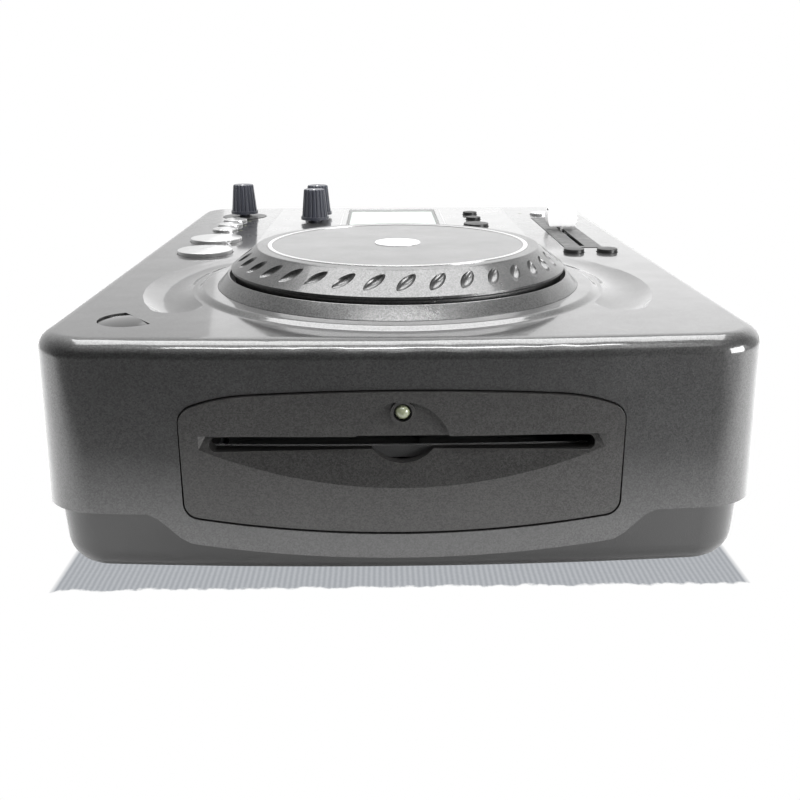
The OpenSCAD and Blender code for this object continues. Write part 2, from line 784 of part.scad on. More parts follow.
module slot_bezel() {
    face_y = -half_d - bezel_proud;
    color([0.24, 0.24, 0.24]) {
        difference() {
            union() {
                intersection() {
                    through_front() bezel_outline();
                    bowed_layer(bezel_proud - bezel_t, bezel_proud);
                }
                intersection() {
                    through_front() bezel_outline(bezel_flange);
                    bowed_layer(bezel_proud - bezel_t, bezel_proud - bezel_t + bezel_flange_t);
                }
            }
            slot_cut();
            mouth_cut(face_y);
            intersection() {
                from_front(face_y - 5, 5 + notch_depth) translate([0, notch_z]) circle(notch_r);
                block([-30, face_y - 6, path_high - 0.2], [30, face_y + 9, top_z]);
            }
            intersection() {
                from_front(face_y - 5, 30) translate([0, lip_cut_z]) circle(lip_cut_r);
                block([-30, face_y - 6, 0], [30, face_y + 30, path_high - 0.1]);
            }
            lamp_hole(face_y);
        }
        difference() {
            from_front(face_y + notch_depth - lamp_out, lamp_out + 0.5)
                translate([0, lamp_z]) circle(lamp_r + lamp_collar);
            lamp_hole(face_y);
        }
    }
}

// Hole for the lamp, with the groove between its lens and its collar
module lamp_hole(face_y) {
    from_front(face_y - 5, 30) translate([0, lamp_z]) circle(lamp_r + 0.05);
    from_front(face_y - 5, 5 + notch_depth + 0.8) translate([0, lamp_z]) circle(lamp_r + lamp_groove);
}

// The slot itself, with round ends
module slot_cut() {
    r = slot_h / 2;
    through_front() {
        translate([-slot_w / 2 + r, slot_z - r]) square([slot_w - 2 * r, slot_h]);
        for (s = [-1, 1]) translate([s * (slot_w / 2 - r), slot_z]) circle(r);
    }
}

// Flared mouth: a ramp up to the slot whose lower edge is an arc, between two slanted ends
module mouth_cut(face_y) {
    ramp_r = mouth_arc_r / cos(mouth_tilt);
    sag = mouth_half * mouth_half / (2 * bow_r);
    spread = (mouth_half - mouth_end) / (mouth_depth - sag);
    out = 4;
    wide = mouth_end + spread * (mouth_depth + out);
    intersection() {
        translate([0, 0, mouth_low - 2]) linear_extrude(mouth_top - mouth_low + 2)
            polygon([[-wide, face_y - out], [wide, face_y - out],
                [mouth_end, face_y + mouth_depth], [-mouth_end, face_y + mouth_depth]]);
        translate([0, face_y, mouth_low]) rotate([mouth_tilt - 90, 0, 0])
            translate([0, -ramp_r, -40]) cylinder(h = 80, r = ramp_r, $fn = 1440);
    }
}

module slot_felt() {
    back = bezel_proud - bezel_t;
    color([0.03, 0.03, 0.03]) intersection() {
        bowed_layer(back - felt_t, back);
        through_front() for (z = [path_low + felt_lap - felt_h, path_high - felt_lap])
            translate([-slot_w / 2 - 1.5, z]) square([slot_w + 3, felt_h]);
    }
}

module indicator_lamps() {
    face_y = -half_d - bezel_proud;
    color([0.6, 0.62, 0.35]) {
        translate([0, face_y + notch_depth + 0.2, lamp_z]) rotate([-90, 0, 0]) union() {
            cylinder(h = 5, r = lamp_r);
            sphere(lamp_r - 0.02);
        }
        for (p = lamp_pos)
            translate([p.x, p.y, inner_top + 0.1]) cylinder(h = shell_wall, r = small_lamp_r);
    }
}

/* ---------- Jog wheel ---------- */

// Half section of the wheel
function jog_section() = concat(
    [[shaft_r, hub_low], [shaft_r + 6, hub_low], [shaft_r + 6, jog_top - 4.4],
        [jog_flat_r - 2, jog_top - 4.4], [jog_skirt_r - jog_wall, jog_rim - 1.6],
        [jog_skirt_r - jog_wall, jog_skirt_low], [jog_skirt_r, jog_skirt_low],
        [jog_skirt_r, jog_rim - 1.6], [jog_r - 0.3, jog_rim - 1.2], [jog_r, jog_rim - 0.8],
        [jog_r, jog_rim]],
    [for (i = [0 : 4]) let (t = i / 4)
        [jog_flat_r + 0.9 - 0.9 * t, jog_top - 0.6 + 0.6 * sin(90 * t)]],
    [[jog_disc_r + trim_w, jog_top], [jog_disc_r + trim_w, jog_top - disc_plate_t],
        [shaft_r, jog_top - disc_plate_t]]);

// One finger dimple: a spindle laid slantwise in the wheel's sloping edge
module dimple() {
    half = dimple_len / 2;
    arc_r = (half * half + dimple_w * dimple_w / 4) / dimple_w;
    slope = atan((jog_top - jog_rim) / (jog_r - jog_flat_r));
    mid = [(jog_r + jog_flat_r) / 2 + 0.3, (jog_top + jog_rim) / 2 + 0.55];
    translate([mid.x, 0, mid.y]) rotate([0, slope, 0]) rotate(-42)
        translate([-half, 0, 0]) rotate([0, 90, 0]) rotate_extrude($fn = 32) intersection() {
            translate([dimple_w / 2 - arc_r, half]) circle(arc_r);
            square([dimple_w, dimple_len]);
        }
}

module jog_wheel() {
    color([0.5, 0.51, 0.52]) translate([0, jog_y(), 0]) difference() {
        rotate_extrude($fn = 128) polygon(jog_section());
        for (i = [1 : dimples]) rotate(360 * i / dimples + dimple_turn) dimple();
    }
}

module jog_top_disc() {
    color([0.3, 0.31, 0.31]) translate([0, jog_y(), jog_top - disc_plate_t])
        cylinder(h = disc_plate_t, r = jog_disc_r - 0.05, $fn = 128);
}

module jog_trim_ring() {
    color([0.85, 0.85, 0.86]) translate([0, jog_y(), jog_top - disc_plate_t]) rotate_extrude($fn = 128)
        polygon([[jog_disc_r, 0], [jog_disc_r + trim_w - 0.05, 0],
            [jog_disc_r + trim_w - 0.05, disc_plate_t + 0.1],
            [jog_disc_r + trim_w - 0.4, disc_plate_t + 0.25], [jog_disc_r + 0.4, disc_plate_t + 0.25],
            [jog_disc_r, disc_plate_t + 0.1]]);
}

module jog_center_cap() {
    color([0.9, 0.9, 0.88]) translate([0, jog_y(), jog_top]) rotate_extrude()
        polygon([[0, 0], [cap_r, 0], [cap_r, 0.25], [cap_r - 0.25, 0.4], [0, 0.4]]);
}

module jog_shaft() {
    low = encoder_z - 5;
    color([0.75, 0.75, 0.77]) translate([0, jog_y(), low])
        cylinder(h = jog_top - disc_plate_t - low, r = shaft_r);
}

module encoder_disc() {
    windows = 40;
    color([0.12, 0.12, 0.12]) translate([0, jog_y(), encoder_z]) difference() {
        union() {
            cylinder(h = encoder_t, r = encoder_r);
            translate([0, 0, -2.5]) cylinder(h = 3, r = shaft_r + 3);
        }
        translate([0, 0, -3]) cylinder(h = 6, r = shaft_r);
        for (i = [1 : windows]) rotate(360 * i / windows)
            translate([encoder_r - 4, -0.6, -1]) cube([2.6, 1.2, 3]);
    }
}

module encoder_sensor() {
    color([0.1, 0.1, 0.11]) translate([0, jog_y(), 0]) difference() {
        block([-5, encoder_r - 6, encoder_z - 3], [5, encoder_r + 5, inner_top]);
        block([-6, encoder_r - 7, encoder_z - 0.7], [6, encoder_r + 1, encoder_z + encoder_t + 0.7]);
    }
}

module jog_collar() {
    edge = 0.6;
    lip = collar_in_r + edge;
    color([0.42, 0.42, 0.43]) translate([0, jog_y(), top_z]) rotate_extrude($fn = 128)
        polygon(concat([[collar_in_r, 0], [collar_in_r, collar_rise - edge]],
            [for (i = [4 : -1 : 0]) let (a = 45 + 33 * i)
                [lip - 0.1 + edge * cos(a), collar_rise - edge + edge * sin(a)]],
            [[collar_r, plateau_rise + 0.1], [collar_r, 0]]));
}

module jog_bearing() {
    color([0.72, 0.55, 0.3]) translate([0, jog_y(), 0]) difference() {
        union() {
            translate([0, 0, bearing_low]) cylinder(h = top_z - bearing_low, r = bush_r);
            translate([0, 0, top_z]) cylinder(h = bush_flange_t, r = bush_flange_r);
        }
        translate([0, 0, bearing_low - 1]) cylinder(h = 20, r = shaft_r + running_gap);
    }
}

/* ---------- Controls ---------- */

module large_button(p) {
    color([0.86, 0.86, 0.85]) push_button(p, large_button_r, large_button_rise, silver_crown);
}
module play_button() { large_button(play_pos); }
module cue_button() { large_button(cue_pos); }
module mode_button(i) {
    color([0.8, 0.8, 0.8]) push_button(mode_pos[i], small_button_r, small_button_rise, silver_crown);
}
module mode_button_1() { mode_button(0); }
module mode_button_2() { mode_button(1); }
module mode_button_3() { mode_button(2); }
module display_button(i) {
    color([0.12, 0.12, 0.13])
        push_button(plate_button_pos[i], plate_button_rs[i], display_button_rise, dark_crown);
}
module display_button_1() { display_button(0); }
module display_button_2() { display_button(1); }
module display_button_3() { display_button(2); }
module bend_button(i) {
    color([0.12, 0.12, 0.13]) push_button(bend_pos[i], bend_button_r, small_button_rise, dark_crown);
}
module bend_button_1() { bend_button(0); }
module bend_button_2() { bend_button(1); }
module pitch_button() {
    color([0.8, 0.8, 0.8]) push_button(pitch_pos, round_button_r, small_button_rise, silver_crown);
}

module eject_button() {
    crown_r = 60;
    color([0.05, 0.05, 0.05]) {
        translate([0, 0, flange_top - flange_t]) linear_extrude(flange_t) eject_outline(flange_w);
        intersection() {
            translate([0, 0, flange_top - 0.01]) linear_extrude(20) eject_outline();
            translate([eject_pos.x, eject_pos.y, top_z + 0.3 - crown_r]) sphere(crown_r, $fn = 180);
        }
    }
}

module knob_1() { color([0.1, 0.1, 0.11]) knob(knob_pos[0]); }
module knob_2() { color([0.1, 0.1, 0.11]) knob(knob_pos[1]); }
module knob_3() { color([0.1, 0.1, 0.11]) knob(knob_pos[2]); }

module knob_pots() {
    color([0.35, 0.37, 0.4]) for (p = knob_pos) translate([p.x, p.y, board_top]) difference() {
        union() {
            translate([-pot_half, -pot_half, 0]) cube([2 * pot_half, 2 * pot_half, pot_h]);
            cylinder(h = top_z - 0.6 - board_top, r = bushing_r);
        }
        translate([0, 0, 1.6]) cylinder(h = 20, r = spindle_r + 0.1);
    }
}

function switch_spots() = concat([play_pos, cue_pos], mode_pos, plate_button_pos, bend_pos, [pitch_pos]);

module button_switches() {
    color([0.15, 0.15, 0.16]) {
        for (p = switch_spots()) tact_switch(p, board_top);
        tact_switch(eject_pos, board_top);
    }
}

// Small switch that a button presses
module tact_switch(p, z) {
    translate([p.x, p.y, z]) {
        translate([-switch_body / 2, -switch_body / 2, 0]) cube([switch_body, switch_body, switch_h]);
        translate([0, 0, switch_h - 0.01]) cylinder(h = plunger_h, r = plunger_r);
    }
}

module fader_cap() {
    d = fader_cap_d;
    w = fader_cap_w;
    h = fader_cap_h;
    lean_in = 1.4;
    groove = 2;
    groove_d = 1.2;
    bulge = 1.3;
    steps = 8;
    side = [[-d / 2, 0], [d / 2, 0], [d / 2, 1], [d / 2 - lean_in, h - 0.8],
        [d / 2 - lean_in - 0.8, h], [groove, h], [groove / 2, h - groove_d],
        [-groove / 2, h - groove_d], [-groove, h], [lean_in + 0.8 - d / 2, h],
        [lean_in - d / 2, h - 0.8], [-d / 2, 1]];
    right = [for (i = [0 : steps]) let (t = 2 * i / steps - 1) [w / 2 - bulge * t * t, h * i / steps]];
    left = [for (i = [steps : -1 : 0]) [-right[i].x, right[i].y]];
    color([0.88, 0.88, 0.87]) {
        translate([fader_x, fader_rest, fader_cap_low]) intersection() {
            translate([w / 2, 0, 0]) rotate([0, -90, 0]) linear_extrude(w)
                polygon([for (p = side) [p.y, p.x]]);
            translate([0, d / 2, 0]) rotate([90, 0, 0]) linear_extrude(d) polygon(concat(right, left));
        }
        block([fader_x - lever_t / 2, fader_rest - lever_d / 2, board_top + 2],
            [fader_x + lever_t / 2, fader_rest + lever_d / 2, fader_cap_low + 0.01]);
    }
}

module fader_body() {
    end = 5;
    color([0.6, 0.61, 0.63]) difference() {
        block([fader_x - fader_body_w / 2, fader_y0 - end, board_top],
            [fader_x + fader_body_w / 2, fader_y0 + fader_slot + end, board_top + fader_body_h]);
        block([fader_x - lever_t / 2 - 1, fader_y0 - 1, board_top + 1],
            [fader_x + lever_t / 2 + 1, fader_y0 + fader_slot + 1, board_top + 20]);
    }
}

module top_inlays() {
    color([0.08, 0.08, 0.08]) translate([0, 0, top_z - inlay_t + 0.1]) difference() {
        linear_extrude(inlay_t + 0.1) inlay_outline();
        block([fader_x - fader_slot_w / 2, fader_y0, -1],
            [fader_x + fader_slot_w / 2, fader_y0 + fader_slot, 5]);
        translate([knob_pos[0].x, knob_pos[0].y, -1]) cylinder(h = 5, r = bushing_r + 0.4);
    }
}

module display_plate() {
    color([0.3, 0.3, 0.31]) translate([0, 0, top_z - plate_t + plate_proud]) difference() {
        linear_extrude(plate_t) plate_outline();
        translate([-window_w / 2 - fit_gap, window_y - window_d / 2 - fit_gap, -1])
            cube([window_w + 2 * fit_gap, window_d + 2 * fit_gap, 5]);
        for (i = [0 : 2]) translate([plate_button_pos[i].x, plate_button_pos[i].y, -1])
            cylinder(h = 5, r = plate_button_rs[i] + button_gap);
        for (i = [1, 2]) translate([knob_pos[i].x, knob_pos[i].y, -1])
            cylinder(h = 5, r = bushing_r + 0.4);
    }
}

module display_window() {
    color([0.75, 0.78, 0.78])
        translate([-window_w / 2, window_y - window_d / 2, top_z - plate_t + plate_proud])
            cube([window_w, window_d, plate_t]);
}

module display_module() {
    rim = 3;
    glass_top = top_z - plate_t + plate_proud;
    color([0.2, 0.35, 0.3]) {
        block([-window_w / 2 - rim, window_y - window_d / 2 - rim, inner_top - module_t],
            [window_w / 2 + rim, window_y + window_d / 2 + rim, inner_top]);
        block([-window_w / 2 + 1.5, window_y - window_d / 2 + 1.5, inner_top - 0.01],
            [window_w / 2 - 1.5, window_y + window_d / 2 - 1.5, glass_top]);
    }
}

/* ---------- Boards and sockets ---------- */

module top_board() {
    side = half_w - 9;
    arm = 70;
    front = panel_y + 42;
    back = rear_y - 13.6;
    middle = panel_y + 97;
    color([0.1, 0.35, 0.18]) difference() {
        union() {
            translate([0, 0, board_z]) linear_extrude(board_t) polygon([[-side, front], [-arm, front],
                [-arm, middle], [arm, middle], [arm, front], [side, front], [side, back], [-side, back]]);
            block([eject_pos.x - 12, eject_pos.y - 9, board_z],
                [eject_pos.x + 12, eject_pos.y + 9, board_top]);
            block([eject_pos.x + 6, eject_pos.y, board_z], [eject_pos.x + 12, front + 1, board_top]);
        }
        for (x = [-boss_x, boss_x], y = boss_ys)
            translate([x, y, board_z - 1]) cylinder(h = 5, r = boss_r + 1);
    }
}

module main_board() {
    z = main_board_z + board_t;
    chip_h = 2;
    sink_h = 16;
    plug_h = 7;
    color([0.1, 0.35, 0.18]) {
        block([board_x0, board_y0, main_board_z], [board_x1, board_y0 + board_d, z]);
        translate([board_x0, board_y0, z]) {
            block([30, 40, 0], [50, 60, chip_h]);
            block([66, 34, 0], [80, 48, chip_h]);
            block([70, 70, 0], [88, 77, chip_h]);
            block([10, 86, 0], [14, 116, sink_h]);
            for (p = [[26, 92], [26, 106], [44, 98]]) translate(p) cylinder(h = sink_h, r = 5);
        }
        for (x = [board_x1 - 40, board_x1 - 24])
            block([x, board_y0 + 20, z], [x + 12, board_y0 + 26, z + plug_h]);
    }
}

module power_transformer() {
    coil_half = 14;
    coil_d = 36;
    coil_h = 24;
    coil_low = 8;
    core_d = 20;
    lug_t = 2;
    hole_x = lug_half - 4;
    color([0.45, 0.42, 0.38]) translate([transformer_x, transformer_y, tray_floor]) difference() {
        union() {
            block([-core_half, -core_d / 2, 0], [core_half, core_d / 2, transformer_h]);
            block([-coil_half, -coil_d / 2, coil_low], [coil_half, coil_d / 2, coil_low + coil_h]);
            block([-lug_half, 1 - core_d / 2, 0], [lug_half, core_d / 2 - 1, lug_t]);
        }
        for (x = [-hole_x, hole_x]) translate([x, 0, -1]) cylinder(h = lug_t + 2, r = screw_r + 0.2);
    }
}

module rear_panel() {
    face = recess_floor_y + recess_wall;
    flange = 3;
    color([0.12, 0.12, 0.13]) difference() {
        union() {
            block([-recess_half, recess_floor_y, recess_low], [recess_half, rear_y - 0.2, recess_top]);
            block([-recess_half - flange, rear_y - shell_wall - 2, recess_low - flange + 0.4],
                [recess_half + flange, rear_y - shell_wall, recess_top + flange]);
        }
        block([-recess_half + recess_wall, face, recess_low + recess_wall],
            [recess_half - recess_wall, rear_y + 5, recess_top - recess_wall]);
        block([rocker_x - 9, recess_floor_y - 1, recess_mid_z - 8.6],
            [inlet_x + 12, face + 1, recess_mid_z + 8.6]);
        for (x = jack_xs) rod_y([x, recess_floor_y - 1, recess_mid_z], 5, jack_r + 0.05);
        rod_y([mini_jack_x, recess_floor_y - 1, recess_mid_z], 5, 3.05);
    }
}

module power_inlet() {
    face = recess_floor_y + recess_wall;
    deep = face + face_t - inlet_depth;
    rim_x = 11;
    rim_z = 10;
    body_d = 20;
    body_z = 8.4;
    hole_r = 4.6;
    well_r = 8.2;
    color([0.05, 0.05, 0.05]) {
        difference() {
            union() {
                block([rocker_x - rim_x, face, recess_mid_z - rim_z],
                    [inlet_x + rim_x + 3, deep + inlet_depth, recess_mid_z + rim_z]);
                block([rocker_x - rim_x + 2.5, face - body_d, recess_mid_z - body_z],
                    [inlet_x + rim_x + 0.5, face + 0.01, recess_mid_z + body_z]);
            }
            rod_x([rocker_x - rocker_half - 0.5, rocker_y, recess_mid_z], 2 * rocker_half + 1, well_r);
            for (s = [-1, 1])
                rod_y([inlet_x + s * inlet_half, deep, recess_mid_z], 30, hole_r);
            block([inlet_x - inlet_half, deep, recess_mid_z - hole_r],
                [inlet_x + inlet_half, face + 20, recess_mid_z + hole_r]);
        }
        for (s = [-1, 1])
            rod_y([inlet_x + s * inlet_half, deep - 1, recess_mid_z], 10, inlet_pin_r);
    }
}

module power_rocker() {
    lip = 6.6;
    color([0.6, 0.08, 0.06]) translate([rocker_x - rocker_half, rocker_y, recess_mid_z])
        rotate([-rocker_tilt, 0, 0]) rotate([90, 0, 90]) linear_extrude(2 * rocker_half)
            polygon([[-4, -3.5], [1.5, -7.4], [4.2, -lip], [3.2, 0], [4.2, lip], [1.5, 7.4], [-4, 3.5]]);
}

module output_jacks() {
    face = recess_floor_y + recess_wall;
    body_d = 12;
    color([0.7, 0.7, 0.66]) {
        for (x = jack_xs) difference() {
            union() {
                rod_y([x, recess_floor_y - 0.01, recess_mid_z], recess_wall + jack_out, jack_r);
                rod_y([x, face, recess_mid_z], 1, jack_r + 1.6);
                block([x - 6, recess_floor_y - body_d, recess_mid_z - 7],
                    [x + 6, recess_floor_y, recess_mid_z + 6]);
            }
            rod_y([x, face, recess_mid_z], 20, jack_bore_r);
        }
        difference() {
            union() {
                rod_y([mini_jack_x, recess_floor_y - 0.01, recess_mid_z], recess_wall + 2.4, 3);
                rod_y([mini_jack_x, face, recess_mid_z], 1, 5);
                block([mini_jack_x - 5, recess_floor_y - body_d, recess_mid_z - 5],
                    [mini_jack_x + 5, recess_floor_y, recess_mid_z + 5]);
            }
            rod_y([mini_jack_x, recess_floor_y - 8, recess_mid_z], 30, mini_bore_r);
        }
    }
}

/* ---------- Loader ---------- */

module loader_frame() {
    mount_low = pinion_z - motor_r - 1;
    guide_d = 40;
    guide_x = 45;
    color([0.55, 0.56, 0.58]) difference() {
        union() {
            for (s = [-1, 1]) mirror([s < 0 ? 1 : 0, 0, 0]) {
                block([wall_in, loader_front, deck_z], [loader_half, loader_rear, wall_top]);
                block([wall_in - 6, loader_front, path_low - 3.4],
                    [wall_in + 0.1, loader_rear - 6, path_low - 0.2]);
                for (y = ear_ys)
                    block([loader_half - 0.1, y - 8, ear_z], [loader_half + 14, y + 8, ear_z + ear_t]);
                block([deck_cut + 1, pivot_y - 3, deck_z], [deck_cut + 4, pivot_y + 3, pivot_z + 3]);
            }
            block([wall_in, loader_front, mount_low], [loader_half, loader_front + 22, deck_z + 0.1]);
            block([-wall_in - 1, loader_front, deck_z], [wall_in + 1, loader_rear, deck_z + deck_t]);
            block([-wall_in - 1, loader_front, wall_top - guide_t],
                [wall_in + 1, loader_front + guide_d, wall_top]);
            for (x = [-guide_x, guide_x])
                block([x - 2, loader_front, guide_z],
                    [x + 2, loader_front + guide_d, wall_top - guide_t + 0.1]);
        }
        block([-deck_cut, disc_y - 22, deck_z - 1], [deck_cut, loader_rear - 3, deck_z + deck_t + 1]);
        block([-deck_cut, loader_front - 1, deck_z - 1], [wall_in, loader_front + 22, deck_z + deck_t + 1]);
        rod_x([-loader_half - 1, roller_y, roller_z], 2 * loader_half + 2, roller_shaft_r + pin_gap);
        rod_x([-loader_half - 1, clamp_y, clamp_z], 2 * loader_half + 2, rail_r + pin_gap);
        rod_x([-deck_cut - 6, pivot_y, pivot_z], 2 * deck_cut + 12, rail_r + pin_gap);
        rod_x([wall_in - 1, roller_y, pinion_z], loader_wall + 2, 4);
        for (s = [-1, 1], y = ear_ys)
            translate([s * ear_x, y, ear_z - 1]) cylinder(h = 5, r = bush_hole_r);
    }
}

module damper_bushes() {
    color([0.05, 0.05, 0.05]) for (s = [-1, 1], y = ear_ys)
        translate([s * ear_x, y, ear_z]) rotate_extrude() polygon([
            [post_pin_r, -2], [bush_out_r, -2], [bush_out_r, 0], [bush_hole_r, 0],
            [bush_hole_r, ear_t], [bush_out_r, ear_t], [bush_out_r, ear_t + 2], [post_pin_r, ear_t + 2]]);
}

module feed_roller() {
    len = wall_in - 8;
    color([0.07, 0.07, 0.07]) {
        rod_x([-loader_half - 1.5, roller_y, roller_z], 2 * loader_half + 1.5 + gear_t + 3, roller_shaft_r);
        difference() {
            rod_x([-len, roller_y, roller_z], 2 * len, roller_r);
            rod_x([-6, roller_y, roller_z], 12, roller_r + 1);
        }
        rod_x([-6.1, roller_y, roller_z], 12.2, roller_r - 0.8);
        translate([gear_x, roller_y, roller_z]) rotate([90, 0, 90]) linear_extrude(gear_t)
            gear_plan(roller_teeth, -90);
    }
}

module loader_gear() {
    color([0.9, 0.88, 0.8]) {
        translate([gear_x, roller_y, pinion_z]) rotate([90, 0, 90]) linear_extrude(gear_t)
            gear_plan(pinion_teeth, 90 + 180 / pinion_teeth);
        rod_x([wall_in - 1.5, roller_y, pinion_z], gear_x - wall_in + 1.6, 1.5);
    }
}

module loader_motor() {
    color([0.65, 0.66, 0.68]) difference() {
        union() {
            rod_x([wall_in - motor_len, roller_y, pinion_z], motor_len, motor_r);
            rod_x([wall_in - 0.1, roller_y, pinion_z], 1.6, 3.4);
        }
        rod_x([wall_in - 6, roller_y, pinion_z], 12, 1.6);
    }
}

module clamp_arm() {
    bar = 9;
    low = clamp_z - clamp_t / 2;
    span = wall_in - 1;
    color([0.6, 0.61, 0.63]) difference() {
        union() {
            block([-bar, disc_y, low], [bar, clamp_y + 3, low + clamp_t]);
            translate([0, disc_y, low]) cylinder(h = clamp_t, r = bar + 2);
            block([-span, clamp_y - 3, low], [span, clamp_y + 3, low + clamp_t]);
            rod_x([-loader_half, clamp_y, clamp_z], 2 * loader_half, 1.3);
        }
        translate([0, disc_y, low - 1]) cylinder(h = 9, r = puck_hole_r);
    }
}

module clamp_puck() {
    low = clamp_z - clamp_t / 2;
    gap = 0.4;
    color([0.85, 0.85, 0.8]) translate([0, disc_y, 0]) difference() {
        union() {
            translate([0, 0, puck_low]) cylinder(h = low - gap - puck_low, r = puck_r);
            translate([0, 0, low - gap - 0.1]) cylinder(h = clamp_t + 2 * gap + 0.2, r = puck_neck_r);
            translate([0, 0, low + clamp_t + gap]) cylinder(h = 1.6, r = puck_neck_r + 3);
        }
        translate([0, 0, puck_low - 1]) cylinder(h = 3, r = hub_boss_r + 0.8);
    }
}

module traverse_plate() {
    front = disc_y - 18;
    post_top = rail_z + rail_r + 1;
    color([0.5, 0.51, 0.53]) difference() {
        union() {
            block([-traverse_half, front, traverse_z], [traverse_half, pivot_y + 3, traverse_z + traverse_t]);
            for (s = [-1, 1]) mirror([s < 0 ? 1 : 0, 0, 0]) {
                for (y = [rail_y0 - rail_post, rail_y1])
                    block([rail_x - 3, y, traverse_z + 0.1],
                        [rail_x + (s > 0 ? 14.5 : 3), y + rail_post, post_top]);
                rod_x([traverse_half - 1, pivot_y, pivot_z], deck_cut + 5 - traverse_half, 1.5);
                block([traverse_half - 5, pivot_y - 3, traverse_z],
                    [traverse_half, pivot_y + 3, pivot_z + 2.6]);
            }
        }
        translate([0, disc_y, traverse_z - 1]) cylinder(h = 5, r = 5);
        block([-17, rail_y0 + 2, traverse_z - 1], [17, rail_y1 - 2, traverse_z + traverse_t + 1]);
        for (s = [-1, 1]) rod_y([s * rail_x, rail_y0 - 4, rail_z], rail_y1 - rail_y0 + 8, rail_r);
        rod_y([screw_x, rail_y0 - 4, rail_z], rail_y1 - rail_y0 + 8, rail_r + pin_gap);
    }
}

module sled_rails() {
    color([0.8, 0.8, 0.82]) for (s = [-1, 1])
        rod_y([s * rail_x, rail_y0 - rail_post, rail_z], rail_y1 - rail_y0 + 2 * rail_post, rail_r);
}

module laser_sled() {
    color([0.15, 0.15, 0.16]) translate([0, sled_home_y, 0]) {
        difference() {
            union() {
                block([-25, -sled_half_y, rail_z - 3], [25, sled_half_y, rail_z + 2.6]);
                block([-12, -sled_half_y + 1, traverse_z - 2], [12, sled_half_y - 1, rail_z]);
                block([24, -3, rail_z - 1.2], [screw_x - rail_r - 0.35, 3, rail_z + 1.2]);
            }
            for (s = [-1, 1]) rod_y([s * rail_x, -20, rail_z], 40, rail_r + pin_gap);
        }
        translate([0, 0, rail_z + 2.5]) cylinder(h = 1.6, r = 4);
    }
}

module lead_screw() {
    color([0.8, 0.8, 0.82])
        rod_y([screw_x, rail_y0 - rail_post - 1, rail_z], rail_y1 - rail_y0 + 2 * rail_post + 2, rail_r);
}

module sled_motor() {
    end = rail_y0 - rail_post;
    color([0.65, 0.66, 0.68]) difference() {
        rod_y([screw_x, end - 16, rail_z], 16, sled_motor_r);
        rod_y([screw_x, end - 3, rail_z], 9, rail_r + pin_gap);
    }
}

module spindle_motor() {
    low = traverse_z - spindle_motor_h;
    color([0.65, 0.66, 0.68]) difference() {
        union() {
            translate([0, disc_y, low]) cylinder(h = spindle_motor_h, r = 12);
            translate([0, disc_y, traverse_z - 0.1]) cylinder(h = 3, r = 4);
        }
        translate([0, disc_y, hub_shaft_low - 0.4]) cylinder(h = 20, r = spindle_shaft_r + 0.05);
    }
}

module disc_hub() {
    plate = 1.8;
    lead = 0.9;
    color([0.15, 0.15, 0.16]) translate([0, disc_y, 0]) {
        translate([0, 0, hub_shaft_low])
            cylinder(h = hub_deck - plate - hub_shaft_low + 0.1, r = spindle_shaft_r);
        rotate_extrude() polygon([[0, hub_deck - plate], [hub_r, hub_deck - plate], [hub_r, hub_deck],
            [hub_boss_r, hub_deck], [hub_boss_r, hub_top - lead], [hub_boss_r - lead, hub_top],
            [0, hub_top]]);
    }
}

/* ---------- Parts ---------- */

top_shell();
base_tray();
slot_bezel();
slot_felt();
rear_panel();
feet();
case_screws();
display_plate();
display_window();
display_module();
top_inlays();
indicator_lamps();
jog_wheel();
jog_top_disc();
jog_trim_ring();
jog_center_cap();
jog_shaft();
encoder_disc();
jog_collar();
jog_bearing();
encoder_sensor();
play_button();
cue_button();
mode_button_1();
mode_button_2();
mode_button_3();
display_button_1();
display_button_2();
display_button_3();
bend_button_1();
bend_button_2();
pitch_button();
eject_button();
knob_1();
knob_2();
knob_3();
knob_pots();
button_switches();
fader_cap();
fader_body();
top_board();
main_board();
power_transformer();
power_inlet();
power_rocker();
output_jacks();
loader_frame();
damper_bushes();
feed_roller();
loader_gear();
loader_motor();
clamp_arm();
clamp_puck();
traverse_plate();
spindle_motor();
disc_hub();
sled_rails();
laser_sled();
lead_screw();
sled_motor();
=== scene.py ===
"""Looks of a tabletop disc player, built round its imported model. Metres, +Z up, front towards -Y."""

import math

import bpy
from mathutils import Matrix, Vector


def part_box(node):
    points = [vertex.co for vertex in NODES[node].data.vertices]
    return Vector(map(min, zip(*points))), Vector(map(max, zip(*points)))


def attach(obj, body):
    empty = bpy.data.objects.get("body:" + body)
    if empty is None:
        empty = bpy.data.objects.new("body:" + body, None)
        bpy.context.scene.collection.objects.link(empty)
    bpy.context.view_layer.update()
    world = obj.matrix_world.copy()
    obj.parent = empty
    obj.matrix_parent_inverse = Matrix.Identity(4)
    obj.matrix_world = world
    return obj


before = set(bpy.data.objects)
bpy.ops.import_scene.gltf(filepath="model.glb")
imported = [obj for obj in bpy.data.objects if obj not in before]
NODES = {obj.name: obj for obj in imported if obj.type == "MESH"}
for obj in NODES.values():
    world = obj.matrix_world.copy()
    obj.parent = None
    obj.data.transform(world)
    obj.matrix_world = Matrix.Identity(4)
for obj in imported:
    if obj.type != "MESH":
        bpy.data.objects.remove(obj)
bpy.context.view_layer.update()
MM = 0.001

# ---------------------------------------------------------------- Camera and stage

LENS_MM = 41.82
SENSOR_MM = 36.0
CAMERA_AT = Vector((-5.8, -446.3, 165.2)) * MM
CAMERA_DOWN = math.radians(18.71)
CAMERA_YAW = 0.0179  # radians
CAMERA_ROLL = -0.0027  # radians


